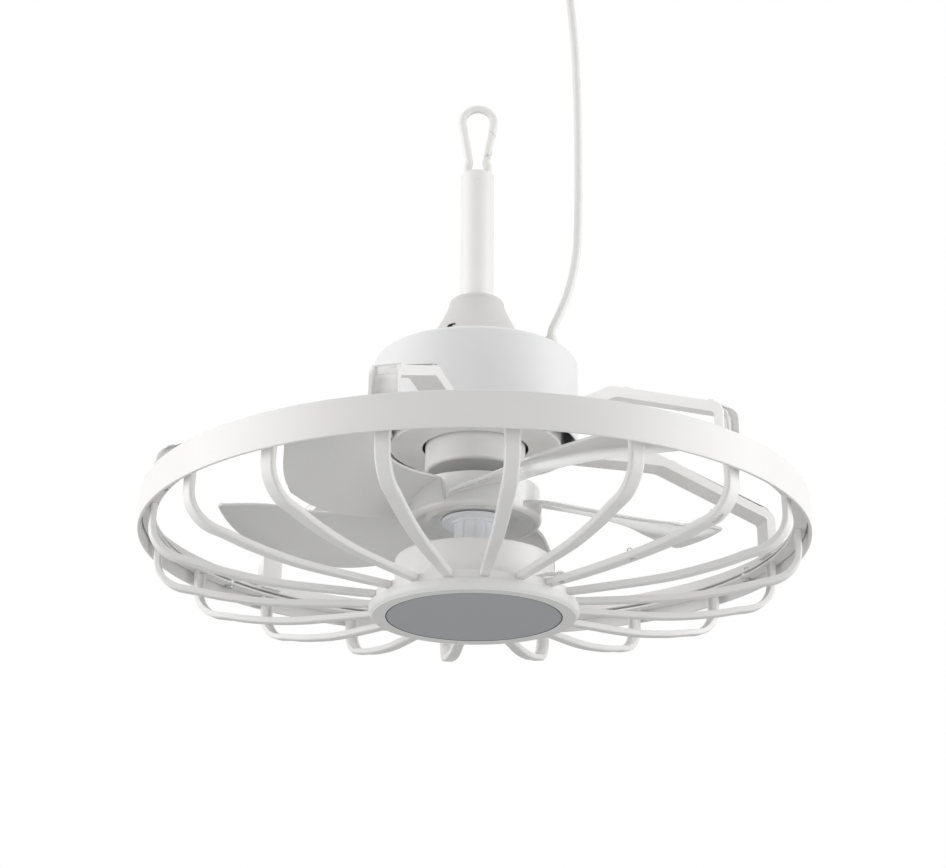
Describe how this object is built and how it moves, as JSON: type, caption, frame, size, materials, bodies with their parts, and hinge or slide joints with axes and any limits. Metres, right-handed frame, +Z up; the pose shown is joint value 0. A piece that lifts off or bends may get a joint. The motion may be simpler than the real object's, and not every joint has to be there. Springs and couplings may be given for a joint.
{
  "type": "ceiling fan",
  "caption": "Hanging ceiling fan with twisted blades in a round rib cage, a centre light under the hub, a down rod with a snap hook and a mains cord to a ceiling plug.",
  "frame": {"origin": "inner top of the snap hook's loop, where the fan hangs; it lies on the fan's axis", "axes": "+Z up along the rotor's axis, -Y towards the front, +X towards the side where the mains cord leaves the can"},
  "size_m": [0.5299, 0.53, 0.6332],
  "materials": {
    "white_paint": "satin white powder coat",
    "steel": "zinc plated",
    "copper": "enamelled copper wire",
    "dark_plastic": "matt",
    "gloss_plastic": "gloss moulded",
    "nut_plastic": "gloss moulded, cool grey",
    "satin_plastic": "satin moulded",
    "board": "white solder mask on aluminium",
    "frosted": "frosted diffuser, unlit",
    "sheath": "white flexible sheath"
  },
  "bodies": {
    "hook": {"hook_body": "white_paint", "gate_pin": "steel"},
    "gate": {"hook_gate": "white_paint"},
    "rotor": {"rotor_magnet": "dark_plastic", "motor_shaft": "steel", "drive_pin": "steel", "fan_rotor": "gloss_plastic", "hub_carrier": "steel", "hub_screws": "steel", "spinner_nut": "nut_plastic"},
    "fan": {"downrod": "white_paint", "bell_cover": "white_paint", "upper_can": "white_paint", "dish_cover": "white_paint", "motor_case": "white_paint", "outer_ring": "white_paint", "cage_hoop": "white_paint", "light_housing": "white_paint", "wire_rib": "white_paint", "rib_1": "white_paint", "rib_2": "white_paint", "rib_3": "white_paint", "rib_5": "white_paint", "rib_6": "white_paint", "rib_7": "white_paint", "rib_8": "white_paint", "rib_9": "white_paint", "rib_10": "white_paint", "rib_11": "white_paint", "rib_12": "white_paint", "rib_13": "white_paint", "rib_14": "white_paint", "rib_15": "white_paint", "rib_16": "white_paint", "rib_17": "white_paint", "rib_18": "white_paint", "arm_1": "white_paint", "arm_2": "white_paint", "arm_3": "white_paint", "arm_4": "white_paint", "arm_5": "white_paint", "arm_6": "white_paint", "rod_pins": "steel", "rod_coupling": "steel", "chassis": "steel", "motor_bracket": "steel", "stator_core": "steel", "motor_bearings": "steel", "frame_screws": "steel", "wire_clips": "steel", "stator_coils": "copper", "control_box": "dark_plastic", "trim_ring": "satin_plastic", "cord_gland": "satin_plastic", "ceiling_plug": "satin_plastic", "led_driver": "satin_plastic", "led_board": "board", "diffuser": "frosted", "cord": "sheath", "light_lead": "sheath"}
  },
  "joints": [
    {"name": "hook_swing", "type": "hinge", "parent": "hook", "child": "fan", "pos_m": [0, 0, -0.07498], "axis": [0, 1, 0], "range_deg": [-2, 2]},
    {"name": "gate_open", "type": "hinge", "parent": "hook", "child": "gate", "pos_m": [0.00821, 0, -0.04327], "axis": [0, -1, 0], "range_deg": [0, 25], "stiffness_Nm_per_rad": 0.05, "springref_deg": -20.05},
    {"name": "rotor_spin", "type": "hinge", "parent": "fan", "child": "rotor", "pos_m": [0, 0, -0.36798], "axis": [0, 0, 1], "continuous": true}
  ]
}
